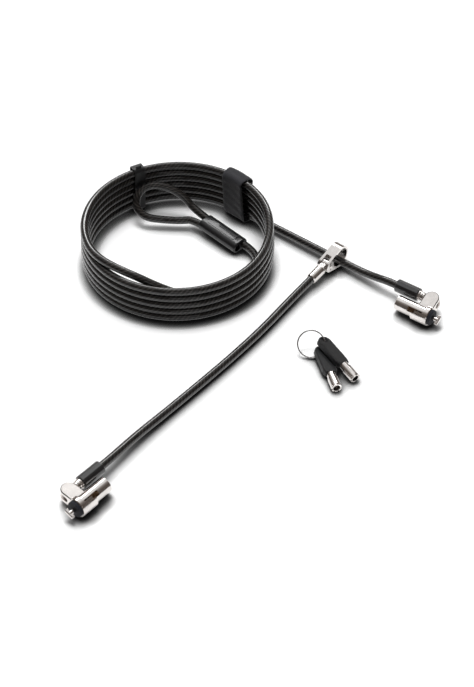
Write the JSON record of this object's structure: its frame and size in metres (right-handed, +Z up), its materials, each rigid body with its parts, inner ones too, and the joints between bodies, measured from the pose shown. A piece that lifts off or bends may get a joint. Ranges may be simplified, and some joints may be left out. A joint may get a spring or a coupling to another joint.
{
  "type": "laptop cable lock",
  "caption": "Coiled steel security cable with an anchor loop, a sliding ring with a short branch cable, two swivelling T-bar locks and a pair of tubular keys.",
  "frame": {"origin": "on the surface it lies on, below the middle of the box round its rigid pieces (locks, ring, keys)", "axes": "+Z up; +X to the right and +Y away, as it is laid out with the coil at the back left"},
  "size_m": [0.2448, 0.3112, 0.0402],
  "materials": {
    "cast_nickel": "satin nickel-chrome plating on zinc casting",
    "bright_chrome": "polished chrome",
    "steel": "machined steel",
    "brass": "machined brass",
    "aluminium": "crimped aluminium",
    "black_rubber": "matt rubber",
    "black_sleeve": "smooth moulded vinyl",
    "cable_jacket": "smoky clear vinyl over twisted steel strands",
    "strap_fabric": "woven hook-and-loop tape",
    "tie_plastic": "matt moulded",
    "key_bow": "matt moulded"
  },
  "bodies": {
    "long_cable": {"long_cable_coil": "cable_jacket", "long_cable_stretch": "cable_jacket", "long_cable_tail": "cable_jacket", "anchor_loop": "cable_jacket", "loop_ferrule": "aluminium", "loop_sleeve": "black_sleeve", "hook_and_loop_strap": "strap_fabric", "bundle_tie": "tie_plastic", "cable_a_ferrule": "bright_chrome", "cable_a_sleeve": "black_sleeve"},
    "eye_a": {"cable_a_eye": "bright_chrome"},
    "lock_a": {"lock_a_housing": "cast_nickel", "lock_a_barrel": "bright_chrome", "lock_a_cylinder": "brass", "lock_a_driver_pins": "brass", "lock_a_pin_springs": "steel", "lock_a_bumper": "black_rubber", "lock_a_pivot_pin": "steel"},
    "plug_a": {"lock_a_plug": "brass", "lock_a_key_pins": "brass", "lock_a_retaining_clip": "steel", "lock_a_t_bar": "bright_chrome"},
    "sliding_ring": {"ring_shackle": "bright_chrome", "ring_pin": "steel"},
    "short_cable": {"ring_ferrule": "bright_chrome", "short_cable": "cable_jacket", "cable_b_ferrule": "bright_chrome", "cable_b_sleeve": "black_sleeve"},
    "eye_b": {"cable_b_eye": "bright_chrome"},
    "lock_b": {"lock_b_housing": "cast_nickel", "lock_b_barrel": "bright_chrome", "lock_b_cylinder": "brass", "lock_b_driver_pins": "brass", "lock_b_pin_springs": "steel", "lock_b_bumper": "black_rubber", "lock_b_pivot_pin": "steel"},
    "plug_b": {"lock_b_plug": "brass", "lock_b_key_pins": "brass", "lock_b_retaining_clip": "steel", "lock_b_t_bar": "bright_chrome"},
    "key_ring": {"split_ring": "bright_chrome"},
    "key_1": {"key_1_bow": "key_bow", "key_1_barrel": "bright_chrome"},
    "key_2": {"key_2_bow": "key_bow", "key_2_barrel": "bright_chrome"}
  },
  "joints": [
    {"name": "swivel_a", "type": "hinge", "parent": "long_cable", "child": "eye_a", "pos_m": [0.1158, 0.0636, 0.0103], "axis": [0.8141, -0.5807, 0], "continuous": true},
    {"name": "pivot_a", "type": "hinge", "parent": "eye_a", "child": "lock_a", "pos_m": [0.1158, 0.0636, 0.0103], "axis": [-0.1986, -0.2784, 0.9397], "range_deg": [0, 180]},
    {"name": "key_turn_a", "type": "hinge", "parent": "lock_a", "child": "plug_a", "pos_m": [0.10958, 0.05488, 0.0064], "axis": [0.8141, -0.5807, 0], "range_deg": [0, 90]},
    {"name": "swivel_b", "type": "hinge", "parent": "short_cable", "child": "eye_b", "pos_m": [-0.1161, -0.1055, 0.00759], "axis": [-0.6494, -0.7604, 0], "continuous": true},
    {"name": "pivot_b", "type": "hinge", "parent": "eye_b", "child": "lock_b", "pos_m": [-0.1161, -0.1055, 0.00759], "axis": [-0.0795, 0.0679, -0.9945], "range_deg": [0, 180]},
    {"name": "key_turn_b", "type": "hinge", "parent": "lock_b", "child": "plug_b", "pos_m": [-0.10748, -0.11286, 0.0064], "axis": [-0.6494, -0.7604, 0], "range_deg": [0, 90]},
    {"name": "ring_slide", "type": "slide", "parent": "long_cable", "child": "sliding_ring", "axis": [0.7716, -0.6361, 0], "range_m": [-0.015, 0.015]},
    {"name": "ring_swing", "type": "hinge", "parent": "sliding_ring", "child": "short_cable", "pos_m": [0.04605, 0.10423, 0.0075], "axis": [0.7716, -0.6361, 0], "range_deg": [-80, 69]},
    {"name": "keys_lift", "type": "slide", "parent": "long_cable", "child": "key_ring", "axis": [0, 0, 1], "range_m": [0, 0.03]},
    {"name": "key_1_swing", "type": "hinge", "parent": "key_ring", "child": "key_1", "pos_m": [0.0424, 0.0245, 0.00794], "axis": [-0.0349, 0.6491, 0.7599], "range_deg": [-6, 24]},
    {"name": "key_2_swing", "type": "hinge", "parent": "key_ring", "child": "key_2", "pos_m": [0.04032, 0.02058, 0.00335], "axis": [0.6428, 0.4975, 0.5825], "range_deg": [0, 18]}
  ]
}
